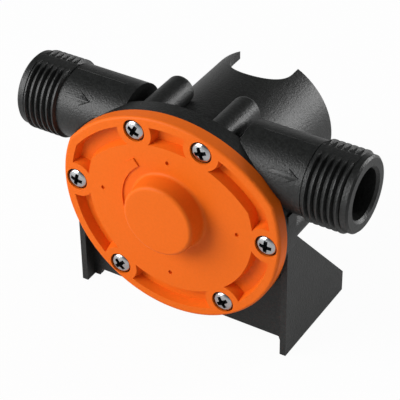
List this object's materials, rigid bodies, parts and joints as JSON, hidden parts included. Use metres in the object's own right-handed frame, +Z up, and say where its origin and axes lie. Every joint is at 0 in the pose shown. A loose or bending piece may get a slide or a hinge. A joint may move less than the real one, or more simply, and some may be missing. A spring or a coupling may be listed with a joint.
{
  "type": "drill pump",
  "caption": "Self-priming transfer pump for a hand drill: round front cover on a stand, two threaded hose ports, and a shank in a notched collar.",
  "frame": {"origin": "on the floor, in the middle of the outline seen from above", "axes": "+X towards the outlet port, +Y backwards along the drive shaft to the drill, +Z up"},
  "size_m": [0.1224, 0.0718, 0.0815],
  "materials": {
    "black_plastic": "moulded black plastic with a fine grain",
    "orange_plastic": "satin moulded orange plastic",
    "zinc": "bright zinc plate",
    "steel": "ground steel",
    "spring_steel": "phosphated spring steel",
    "bronze": "oil-filled bronze and brass, turned",
    "rubber": "nitrile rubber",
    "nylon": "natural acetal"
  },
  "bodies": {
    "pump_body": {"housing": "black_plastic", "front_cover": "orange_plastic", "cover_seal": "rubber", "cover_screws": "zinc", "front_bush": "bronze", "front_thrust_washer": "nylon", "rear_thrust_washer": "nylon", "seal_case": "steel", "seal_lip": "rubber", "garter_spring": "spring_steel", "bearing_outer_ring": "steel", "bearing_shields": "steel", "bearing_circlip": "spring_steel"},
    "rotor": {"drive_shaft": "steel", "impeller_insert": "bronze", "impeller": "rubber", "drive_pin": "steel", "shaft_circlip": "spring_steel", "bearing_inner_ring": "steel"},
    "ball_set": {"bearing_balls": "zinc", "bearing_cage": "bronze"}
  },
  "joints": [
    {"name": "shaft_spin", "type": "hinge", "parent": "pump_body", "child": "rotor", "pos_m": [0, 0, 0.0482], "axis": [0, 1, 0], "continuous": true},
    {"name": "ball_set_spin", "type": "hinge", "parent": "pump_body", "child": "ball_set", "pos_m": [0, 0, 0.0482], "axis": [0, 1, 0], "continuous": true}
  ],
  "couplings": [
    {"joint": "ball_set_spin", "follows": "shaft_spin", "ratio": 0.3677}
  ]
}
